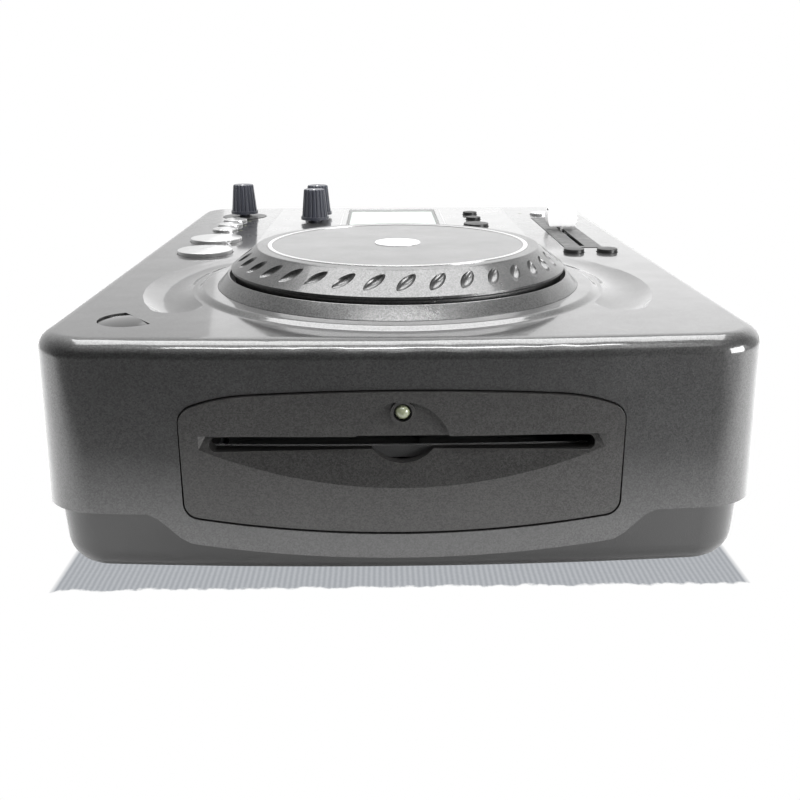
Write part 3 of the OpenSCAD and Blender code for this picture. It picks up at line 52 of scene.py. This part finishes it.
def make_camera():
    """The photo's camera, as fitted to the case's straight edges."""
    ahead = Vector((math.sin(CAMERA_YAW), math.cos(CAMERA_YAW), 0))
    right = Vector((math.cos(CAMERA_YAW), -math.sin(CAMERA_YAW), 0))
    forward = ahead * math.cos(CAMERA_DOWN) - Vector((0, 0, math.sin(CAMERA_DOWN)))
    up = right.cross(forward)
    side = right * math.cos(CAMERA_ROLL) + up * math.sin(CAMERA_ROLL)
    top = up * math.cos(CAMERA_ROLL) - right * math.sin(CAMERA_ROLL)
    data = bpy.data.cameras.new("camera")
    data.lens = LENS_MM
    data.sensor_width = SENSOR_MM
    data.clip_start = 0.01
    camera = bpy.data.objects.new("camera", data)
    bpy.context.scene.collection.objects.link(camera)
    turn = Matrix((side, top, -forward)).transposed()
    camera.matrix_world = Matrix.Translation(CAMERA_AT) @ turn.to_4x4()
    bpy.context.scene.camera = camera


class Graph:
    """A material's or world's nodes, made by short calls."""

    def __init__(self, tree):
        self.tree = tree
        tree.nodes.clear()

    def node(self, kind, values=(), **attributes):
        """A new node with its inputs set or linked by name or number."""
        made = self.tree.nodes.new(kind)
        for name, value in attributes.items():
            setattr(made, name, value)
        for name, value in dict(values).items():
            self.put(made.inputs[name], value)
        return made

    def put(self, socket, value):
        if isinstance(value, bpy.types.NodeSocket):
            self.tree.links.new(value, socket)
        else:
            socket.default_value = value

    def math(self, operation, a, b=0.0):
        made = self.node("ShaderNodeMath", operation=operation)
        self.put(made.inputs[0], a)
        self.put(made.inputs[1], b)
        return made.outputs[0]

    def mix(self, share, a, b, blend="MIX"):
        """Two colours mixed, or blended in the named way."""
        made = self.node("ShaderNodeMix", data_type="RGBA", blend_type=blend)
        self.put(made.inputs[0], share)
        self.put(made.inputs[6], a)
        self.put(made.inputs[7], b)
        return made.outputs[2]

    def level(self, value):
        """A value as a grey colour."""
        return self.node("ShaderNodeCombineColor", {0: value, 1: value, 2: value}).outputs[0]

    def tint(self, colour, share):
        """A colour made lighter or darker by a share."""
        return self.mix(1.0, colour, self.level(share), "MULTIPLY")

    def spread(self, value, low, high, to_low=0.0, to_high=1.0):
        """A value mapped from one range to another and held inside it."""
        made = self.node("ShaderNodeMapRange", {
            "Value": value, "From Min": low, "From Max": high, "To Min": to_low, "To Max": to_high})
        return made.outputs[0]

    def place(self, scale=(1, 1, 1)):
        """Position in metres in the object's own frame, stretched by scale."""
        at = self.node("ShaderNodeTexCoord").outputs["Object"]
        return self.node("ShaderNodeMapping", {"Vector": at, "Scale": scale}).outputs[0]

    def noise(self, size_mm, detail=3.0, rough=0.5, scale=(1, 1, 1)):
        made = self.node("ShaderNodeTexNoise", {
            "Vector": self.place(scale), "Scale": 1 / (size_mm * MM), "Detail": detail,
            "Roughness": rough})
        return made.outputs[0]

    def cells(self, size_mm):
        return self.node("ShaderNodeTexVoronoi", {
            "Vector": self.place(), "Scale": 1 / (size_mm * MM)})

    def bump(self, height, distance_mm, strength):
        return self.node("ShaderNodeBump", {
            "Height": height, "Distance": distance_mm * MM, "Strength": strength}).outputs[0]


def grey(level, warm=0.0):
    """A grey of that linear level, warmer or colder by a small share."""
    return (level * (1 + warm), level, level * (1 - warm), 1.0)


def material(name, build):
    made = bpy.data.materials.new(name)
    made.use_nodes = True
    graph = Graph(made.node_tree)
    shader = build(graph)
    graph.node("ShaderNodeOutputMaterial", {"Surface": shader.outputs[0]})
    return made


WORLD_BACK = 0.8
WORLD_FRONT = 0.05
BACKDROP_WHITE = 1.0


def make_world():
    """White behind and above, some light at the right, dim elsewhere; the camera sees plain white."""
    world = bpy.data.worlds.new("studio")
    bpy.context.scene.world = world
    world.use_nodes = True
    g = Graph(world.node_tree)
    way = g.node("ShaderNodeSeparateXYZ", {
        0: g.node("ShaderNodeTexCoord").outputs["Generated"]}).outputs
    behind = g.spread(way["Y"], -0.35, 0.5)
    high = g.spread(way["Z"], 0.45, 0.98)
    right = g.spread(way["X"], 0.35, 1.0, 0.0, 0.35)
    bright = g.math("MAXIMUM", g.math("MAXIMUM", behind, high), right)
    level = g.spread(bright, 0.0, 1.0, WORLD_FRONT, WORLD_BACK)
    seen = g.node("ShaderNodeLightPath").outputs["Is Camera Ray"]
    strength = g.math("MAXIMUM", level, g.math("MULTIPLY", seen, BACKDROP_WHITE))
    sky = g.node("ShaderNodeBackground", {"Color": (1, 1, 1, 1), "Strength": strength})
    g.node("ShaderNodeOutputWorld", {"Surface": sky.outputs[0]})


def softbox(name, at_mm, to_mm, size_mm, watts):
    """A flat lamp that faces a point and that the camera doesn't see."""
    data = bpy.data.lights.new(name, "AREA")
    data.shape = "RECTANGLE"
    data.size, data.size_y = (s * MM for s in size_mm)
    data.energy = watts
    lamp = bpy.data.objects.new(name, data)
    bpy.context.scene.collection.objects.link(lamp)
    lamp.visible_camera = False
    lamp.location = Vector(at_mm) * MM
    lamp.rotation_euler = (Vector(to_mm) - Vector(at_mm)).to_track_quat("-Z", "Y").to_euler()


FLOOR_HALF_M = 3.0
CLOTH_FRONT_MM = -161.0
CLOTH_SIDE_MM = 121.0
CLOTH_BACK_MM = 190.0
CLOTH_FADE_MM = 30.0
FRONT_SOFT_MM = 0.6
SIDE_SOFT_MM = 1.0
RAGGED_MM = 1.6
# Painted shade: between the next two lines the floor's colour goes from dark to pale, darker towards the
# front, so that the case's front mirrors a dim floor.
FLOOR_SHADE_DARKEST_MM = -330.0
FLOOR_SHADE_ENDS_MM = -215.0


def make_stage():
    """A light woven cloth under the player, on a table that the camera sees as plain white; to the camera
    the cloth strip glows a grey weave, painted shade, and the floor is painted darker towards the front.
    """
    def cloth(g):
        at = g.node("ShaderNodeSeparateXYZ", {0: g.place()}).outputs
        ragged = g.spread(g.noise(9, 4, 0.6), 0.3, 0.7, -RAGGED_MM, RAGGED_MM)
        x = g.math("MULTIPLY", at["X"], 1 / MM)
        y = g.math("ADD", g.math("MULTIPLY", at["Y"], 1 / MM), ragged)
        front = g.spread(y, CLOTH_FRONT_MM - FRONT_SOFT_MM, CLOTH_FRONT_MM + FRONT_SOFT_MM)
        back = g.spread(y, CLOTH_BACK_MM, CLOTH_BACK_MM - CLOTH_FADE_MM)
        side = g.spread(g.math("ABSOLUTE", x), CLOTH_SIDE_MM + SIDE_SOFT_MM, CLOTH_SIDE_MM - SIDE_SOFT_MM)
        inside = g.math("MINIMUM", g.math("MINIMUM", front, back), side)
        weave = g.math("ADD", g.node("ShaderNodeTexWave", {
            "Vector": g.place(), "Scale": 160.0, "Distortion": 0.4}).outputs[1], g.noise(1.2))
        # Painted shade: the floor's colour darkens towards the front for the case's front to mirror; the
        # camera doesn't see this colour.
        painted_floor_shade = g.spread(y, FLOOR_SHADE_DARKEST_MM, FLOOR_SHADE_ENDS_MM, 0.1, 0.9)
        lit = g.node("ShaderNodeBsdfPrincipled", {
            "Base Color": g.level(painted_floor_shade), "Roughness": 0.95, "Normal": g.bump(weave, 0.15, 0.5)}).outputs[0]
        # Painted shade: to the camera the cloth strip glows with this fixed grey weave and is not lit; the
        # weave pattern is the cloth's own, its greyness is the shade under the player.
        weave_in_painted_shade = g.mix(g.spread(weave, 0.5, 1.5), (0.44, 0.46, 0.49, 1), (0.56, 0.58, 0.61, 1))
        painted_shade_glow = g.node("ShaderNodeEmission", {
            "Color": g.mix(inside, (1, 1, 1, 1), weave_in_painted_shade),
            "Strength": g.spread(inside, 0.0, 1.0, 1.0, 0.85)}).outputs[0]
        seen = g.node("ShaderNodeLightPath").outputs["Is Camera Ray"]
        return g.node("ShaderNodeMixShader", {0: seen, 1: lit, 2: painted_shade_glow})
    half = FLOOR_HALF_M
    mesh = bpy.data.meshes.new("table_cloth")
    mesh.from_pydata([(-half, -half, 0), (half, -half, 0), (half, half, 0), (-half, half, 0)],
                     [], [(0, 1, 2, 3)])
    floor = bpy.data.objects.new("table_cloth", mesh)
    floor.data.materials.append(material("cloth", cloth))
    bpy.context.scene.collection.objects.link(floor)


# ---------------------------------------------------------------- Materials

COAT_ROUGHNESS = 0.07
COAT_IOR = 1.55
METAL_GRAIN_MM = 0.3


def flake_paint(name, colour, metallic, roughness, coat, sparkle=0.6, flake_mm=0.42):
    """Metallic lacquer: fine bright flakes of all slants under a clear coat."""
    def build(g):
        flakes = g.cells(flake_mm)
        glint = g.node("ShaderNodeSeparateColor", {0: flakes.outputs["Color"]}).outputs
        shade = g.spread(glint["Red"], 0.0, 1.0, 1 - 0.5 * sparkle, 1 + 0.5 * sparkle)
        drift = g.spread(g.noise(45, 2), 0.3, 0.7, 0.94, 1.06)
        tone = g.math("MULTIPLY", shade, drift)
        base = g.tint(colour, tone)
        slant = g.bump(glint["Green"], 0.05, 0.5)
        rough = g.spread(g.noise(18, 4), 0.3, 0.75, roughness - 0.04, roughness + 0.06)
        return g.node("ShaderNodeBsdfPrincipled", {
            "Base Color": base, "Metallic": metallic, "Roughness": rough, "Normal": slant,
            "Coat Weight": coat, "Coat Roughness": COAT_ROUGHNESS, "Coat IOR": COAT_IOR})
    return material(name, build)


def plastic(name, colour, roughness, grain_mm=0.35, grain=0.25, sheen=0.0, coat=0.0, drift=0.08):
    """Moulded plastic with a fine spark-eroded grain and slight unevenness in colour."""
    def build(g):
        tone = g.spread(g.noise(12, 4), 0.3, 0.7, 1 - drift, 1 + drift)
        base = g.tint(colour, tone)
        rough = g.spread(g.noise(6, 4), 0.3, 0.7, roughness - 0.05, roughness + 0.05)
        return g.node("ShaderNodeBsdfPrincipled", {
            "Base Color": base, "Roughness": rough, "Sheen Weight": sheen, "Coat Weight": coat,
            "Normal": g.bump(g.noise(grain_mm, 2), 0.04, grain)})
    return material(name, build)


def metal(name, colour, roughness, brush=(1, 1, 1)):
    """Bare or plated metal, with its brush marks across the axis of brush's largest number."""
    def build(g):
        line = g.noise(METAL_GRAIN_MM, 3, 0.6, brush)
        rough = g.spread(g.noise(9, 4), 0.3, 0.7, roughness - 0.05, roughness + 0.07)
        tone = g.spread(line, 0.3, 0.7, 0.93, 1.05)
        base = g.tint(colour, tone)
        return g.node("ShaderNodeBsdfPrincipled", {
            "Base Color": base, "Metallic": 1.0, "Roughness": rough,
            "Normal": g.bump(line, 0.02, 0.2)})
    return material(name, build)


def circuit_board(name, colour):
    """Solder resist with copper traces that show through as lighter lines."""
    def build(g):
        traces = g.node("ShaderNodeTexBrick", {
            "Vector": g.place(), "Scale": 140.0, "Mortar Size": 0.03,
            "Color1": colour, "Color2": [c * 0.86 for c in colour[:3]] + [1],
            "Mortar": [min(1, c * 1.7) for c in colour[:3]] + [1]})
        return g.node("ShaderNodeBsdfPrincipled", {
            "Base Color": traces.outputs["Color"], "Roughness": 0.38,
            "Normal": g.bump(traces.outputs["Fac"], 0.04, 0.3)})
    return material(name, build)


def felt(name, colour):
    """Felt whose fibres lie mostly level."""
    def build(g):
        fibre = g.noise(0.25, 4, 0.7, (1, 1, 4))
        return g.node("ShaderNodeBsdfPrincipled", {
            "Base Color": g.mix(fibre, colour, grey(0.02)), "Roughness": 1.0, "Sheen Weight": 0.4,
            "Sheen Roughness": 0.6, "Normal": g.bump(fibre, 0.2, 0.7)})
    return material(name, build)


def window(name, roughness):
    """Thin clear plastic: it mirrors at a slant and lets light and sight straight through."""
    def build(g):
        smear = g.spread(g.noise(14, 4), 0.35, 0.75, roughness, roughness + 0.06)
        mirror = g.node("ShaderNodeBsdfGlossy", {"Roughness": smear}).outputs[0]
        clear = g.node("ShaderNodeBsdfTransparent", {"Color": (0.96, 0.98, 0.97, 1)}).outputs[0]
        slant = g.node("ShaderNodeFresnel", {"IOR": 1.49}).outputs[0]
        return g.node("ShaderNodeMixShader", {0: slant, 1: clear, 2: mirror})
    return material(name, build)


def make_materials():
    return {
        "case_paint": flake_paint("gunmetal_lacquer", grey(0.06), 0.72, 0.33, 1.0),
        "tray_paint": flake_paint("tray_lacquer", grey(0.043), 0.55, 0.38, 0.4, sparkle=0.0),
        "bezel_paint": flake_paint("bezel_lacquer", grey(0.052, 0.02), 0.6, 0.42, 0.3),
        "plate_paint": flake_paint("plate_lacquer", grey(0.11), 0.6, 0.3, 1.0, sparkle=0.4),
        "collar_paint": flake_paint("collar_lacquer", grey(0.11), 0.85, 0.3, 0.4, flake_mm=0.36),
        "wheel_paint": flake_paint("wheel_lacquer", grey(0.09), 0.85, 0.3, 0.4, flake_mm=0.36),
        "disc_face": flake_paint("wheel_face", grey(0.1), 0.3, 0.36, 0.5, sparkle=0.1),
        "bright_ring": metal("bright_ring", grey(0.72), 0.16),
        "pale_cap": plastic("pale_cap", grey(0.8), 0.25, coat=0.4),
        "silver_button": flake_paint("silver_lacquer", grey(0.55), 0.7, 0.3, 0.6, sparkle=0.1),
        "dark_button": plastic("dark_button", grey(0.018), 0.4),
        "gloss_black": plastic("gloss_black", grey(0.01), 0.12, grain=0.03, coat=0.6),
        "knob_rubber": plastic("knob_rubber", (0.028, 0.031, 0.045, 1), 0.5, sheen=0.25),
        "inlay_black": plastic("inlay_black", grey(0.03), 0.35),
        "white_cap": plastic("white_cap", grey(0.9), 0.22, grain=0.05, coat=0.5, drift=0.03),
        "print_grey": plastic("print_grey", grey(0.42), 0.5, grain=0.02),
        "panel_black": plastic("panel_black", grey(0.02), 0.5),
        "rubber": plastic("rubber", grey(0.012), 0.75, grain_mm=0.6, grain=0.5),
        "white_plastic": plastic("white_plastic", (0.72, 0.7, 0.62, 1), 0.4),
        "rocker_red": plastic("rocker_red", (0.42, 0.02, 0.015, 1), 0.3, coat=0.3),
        "felt": felt("felt", grey(0.006)),
        "steel": metal("steel", grey(0.62), 0.22, (1, 1, 30)),
        "sheet_steel": metal("sheet_steel", grey(0.5, -0.01), 0.36, (1, 20, 1)),
        "screw_steel": metal("screw_steel", grey(0.45), 0.3),
        "motor_steel": metal("motor_steel", grey(0.55), 0.28, (20, 1, 1)),
        "pot_metal": metal("pot_metal", grey(0.4), 0.34),
        "socket_metal": metal("socket_metal", (0.72, 0.66, 0.5, 1), 0.25),
        "bronze": metal("bronze", (0.5, 0.3, 0.12, 1), 0.35),
        "core_steel": metal("core_steel", grey(0.2), 0.5, (30, 1, 1)),
        "board_green": circuit_board("board_green", (0.012, 0.1, 0.035, 1)),
        "module_back": plastic("module_back", (0.82, 0.88, 0.85, 1), 0.35, grain=0.02),
        "window_clear": window("window_clear", 0.06),
        "lamp_lens": plastic("lamp_lens", (0.24, 0.26, 0.17, 1), 0.14, grain=0.02, coat=1.0),
    }


FINISH = {
    "case_paint": ["top_shell"],
    "tray_paint": ["base_tray"],
    "bezel_paint": ["slot_bezel"],
    "plate_paint": ["display_plate"],
    "collar_paint": ["jog_collar"],
    "wheel_paint": ["jog_wheel"],
    "disc_face": ["jog_top_disc"],
    "bright_ring": ["jog_trim_ring"],
    "pale_cap": ["jog_center_cap"],
    "silver_button": ["play_button", "cue_button", "mode_button_1", "mode_button_2",
                      "mode_button_3", "pitch_button"],
    "dark_button": ["display_button_1", "display_button_2", "display_button_3",
                    "bend_button_1", "bend_button_2"],
    "gloss_black": ["eject_button", "power_inlet"],
    "knob_rubber": ["knob_1", "knob_2", "knob_3"],
    "inlay_black": ["top_inlays"],
    "white_cap": ["fader_cap"],
    "panel_black": ["rear_panel", "encoder_disc", "encoder_sensor", "button_switches",
                    "laser_sled", "disc_hub"],
    "rubber": ["feet", "damper_bushes", "feed_roller"],
    "white_plastic": ["clamp_puck", "loader_gear"],
    "rocker_red": ["power_rocker"],
    "felt": ["slot_felt"],
    "steel": ["jog_shaft", "sled_rails", "lead_screw"],
    "sheet_steel": ["loader_frame", "clamp_arm", "traverse_plate"],
    "screw_steel": ["case_screws"],
    "motor_steel": ["loader_motor", "spindle_motor", "sled_motor"],
    "pot_metal": ["knob_pots", "fader_body"],
    "socket_metal": ["output_jacks"],
    "bronze": ["jog_bearing"],
    "core_steel": ["power_transformer"],
    "board_green": ["top_board", "main_board"],
    "module_back": ["display_module"],
    "window_clear": ["display_window"],
    "lamp_lens": ["indicator_lamps"],
}

WELD_MM = 0.002
FLAT_DEG = 0.4
EDGE_SEGMENTS = 2
NORMAL_WEIGHT = 60
SHARP_DEG = 30.0
SHARP_NODE_DEG = {"slot_bezel": 15.5, "top_shell": 20.0, "base_tray": 20.0}
EDGE_MM = {"top_shell": 0.25, "slot_bezel": 0.3, "base_tray": 0.3, "display_plate": 0.12,
           "jog_wheel": 0.12, "jog_collar": 0.1, "fader_cap": 0.4, "rear_panel": 0.25,
           "power_inlet": 0.3, "feet": 0.4}


def make_creases():
    """Geometry nodes that shade a mesh's edges sharp above an angle."""
    group = bpy.data.node_groups.new("creases", "GeometryNodeTree")
    sockets = group.interface
    sockets.new_socket("Geometry", in_out="INPUT", socket_type="NodeSocketGeometry")
    sockets.new_socket("Angle", in_out="INPUT", socket_type="NodeSocketFloat")
    sockets.new_socket("Geometry", in_out="OUTPUT", socket_type="NodeSocketGeometry")
    nodes, links = group.nodes, group.links
    start, end = nodes.new("NodeGroupInput"), nodes.new("NodeGroupOutput")
    turn = nodes.new("GeometryNodeInputMeshEdgeAngle")
    over = nodes.new("FunctionNodeCompare")
    over.data_type = "FLOAT"
    over.operation = "GREATER_THAN"
    crease = nodes.new("GeometryNodeSetShadeSmooth")
    crease.domain = "EDGE"
    crease.inputs["Shade Smooth"].default_value = False
    links.new(turn.outputs["Unsigned Angle"], over.inputs[0])
    links.new(start.outputs["Angle"], over.inputs[1])
    links.new(start.outputs["Geometry"], crease.inputs["Geometry"])
    links.new(over.outputs[0], crease.inputs["Selection"])
    links.new(crease.outputs[0], end.inputs[0])
    return group


CREASES = make_creases()


def round_edges(node, width_mm):
    """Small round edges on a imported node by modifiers, and smooth faces with sharp creases."""
    sharp = math.radians(SHARP_NODE_DEG.get(node.name, SHARP_DEG))
    weld = node.modifiers.new("weld", "WELD")
    weld.merge_threshold = WELD_MM * MM
    if width_mm:
        flat = node.modifiers.new("flat", "DECIMATE")
        flat.decimate_type = "DISSOLVE"
        flat.angle_limit = math.radians(FLAT_DEG)
        bevel = node.modifiers.new("edge", "BEVEL")
        bevel.width = width_mm * MM
        bevel.segments = EDGE_SEGMENTS
        bevel.limit_method = "ANGLE"
        bevel.angle_limit = sharp
    for face in node.data.polygons:
        face.use_smooth = True
    crease = node.modifiers.new("creases", "NODES")
    crease.node_group = CREASES
    crease[CREASES.interface.items_tree["Angle"].identifier] = sharp
    normals = node.modifiers.new("normals", "WEIGHTED_NORMAL")
    normals.keep_sharp = True
    normals.weight = NORMAL_WEIGHT


def dress_nodes(finishes):
    """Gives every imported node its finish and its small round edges."""
    for finish, names in FINISH.items():
        for name in names:
            node = NODES[name]
            node.data.materials.clear()
            node.data.materials.append(finishes[finish])
            round_edges(node, EDGE_MM.get(name, 0))


# ---------------------------------------------------------------- Printed lines and pointers

PRINT_MM = 0.03
PRINT_EDGE_MM = 0.3 * PRINT_MM
LINE_OUT_MM = 3.5
LINE_W_MM = 0.5
TICKS = 11
TICK_W_MM = 0.4
TICK_LONG_MM = 2.6
TICK_SHORT_MM = 1.6
TICK_OUT_MM = 8.1
SCALE_END_MM = 10.0
POINTER_W_MM = 1.0
POINTER_H_MM = 2 * PRINT_MM
POINTER_REACH_MM = (5.4, 1.5)


def bars(name, boxes, body, finish):
    """One piece of upright-sided bars, each given by its lowest and highest corner in metres."""
    points, faces = [], []
    for low, high in boxes:
        n = len(points)
        points += [(x, y, z) for z in (low[2], high[2]) for y in (low[1], high[1])
                   for x in (low[0], high[0])]
        faces += [[n + i for i in side] for side in (
            (0, 2, 3, 1), (4, 5, 7, 6), (0, 1, 5, 4), (2, 6, 7, 3), (0, 4, 6, 2), (1, 3, 7, 5))]
    mesh = bpy.data.meshes.new(name)
    mesh.from_pydata(points, [], faces)
    mesh.materials.append(finish)
    piece = bpy.data.objects.new(name, mesh)
    bpy.context.scene.collection.objects.link(piece)
    edge = piece.modifiers.new("edge", "BEVEL")
    edge.width = PRINT_EDGE_MM * MM
    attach(piece, body)


def frame_bars(low, high, z, width):
    """Bars of a rectangular line drawn round an area."""
    x0, y0, x1, y1 = low[0], low[1], high[0], high[1]
    top = z + PRINT_MM * MM
    return [((x0, y, z), (x1, y + width, top)) for y in (y0, y1 - width)] + \
        [((x, y0, z), (x + width, y1, top)) for x in (x0, x1 - width)]


def slider_scale(finish):
    """Ticks on both sides of the slider's slot, longer at the ends and in the middle."""
    low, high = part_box("fader_body")
    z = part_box("top_inlays")[1].z
    mid_x = (low.x + high.x) / 2
    start_y, run = low.y + SCALE_END_MM * MM, high.y - low.y - 2 * SCALE_END_MM * MM
    half = TICK_W_MM / 2 * MM
    ticks = []
    for i in range(TICKS):
        y = start_y + run * i / (TICKS - 1)
        length = TICK_LONG_MM if i in (0, TICKS // 2, TICKS - 1) else TICK_SHORT_MM
        for side in (-1, 1):
            outer = mid_x + side * TICK_OUT_MM * MM
            x0, x1 = sorted((outer, outer - side * length * MM))
            ticks.append(((x0, y - half, z), (x1, y + half, z + PRINT_MM * MM)))
    bars("slider_scale", ticks, "case", finish)


def knob_pointer(name, finish):
    """Pale line on a knob's top, from near its middle to near its front edge."""
    low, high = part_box(name)
    mid = (low + high) / 2
    half = POINTER_W_MM / 2 * MM
    far, near = (reach * MM for reach in POINTER_REACH_MM)
    bars(name + "_pointer", [((mid.x - half, mid.y - far, high.z),
                              (mid.x + half, mid.y - near, high.z + POINTER_H_MM * MM))], name, finish)


def print_marks(finishes):
    """Printed line round the display, scale beside the slider and a pointer on each knob."""
    low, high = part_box("display_window")
    rim = Vector((LINE_OUT_MM, LINE_OUT_MM, 0)) * MM
    line = frame_bars(low - rim, high + rim, high.z, LINE_W_MM * MM)
    bars("display_line", line, "case", finishes["print_grey"])
    slider_scale(finishes["print_grey"])
    for name in ("knob_1", "knob_2", "knob_3"):
        knob_pointer(name, finishes["white_cap"])


# ---------------------------------------------------------------- Build

make_camera()
make_world()
make_stage()
softbox("overhead", (0, 250, 1300), (0, 0, 60), (1500, 900), 26)
softbox("behind", (700, 1500, 620), (0, 0, 80), (2600, 1200), 5.5)
softbox("front_strip", (0, -600, 1150), (0, -170, 85), (900, 110), 7)
softbox("front_fill", (350, -1000, 1250), (0, 60, 95), (900, 600), 2.5)
softbox("right_card", (900, -620, 200), (0, -150, 50), (500, 400), 9)
FINISHES = make_materials()
dress_nodes(FINISHES)
print_marks(FINISHES)

bpy.context.scene.view_settings.view_transform = "Standard"
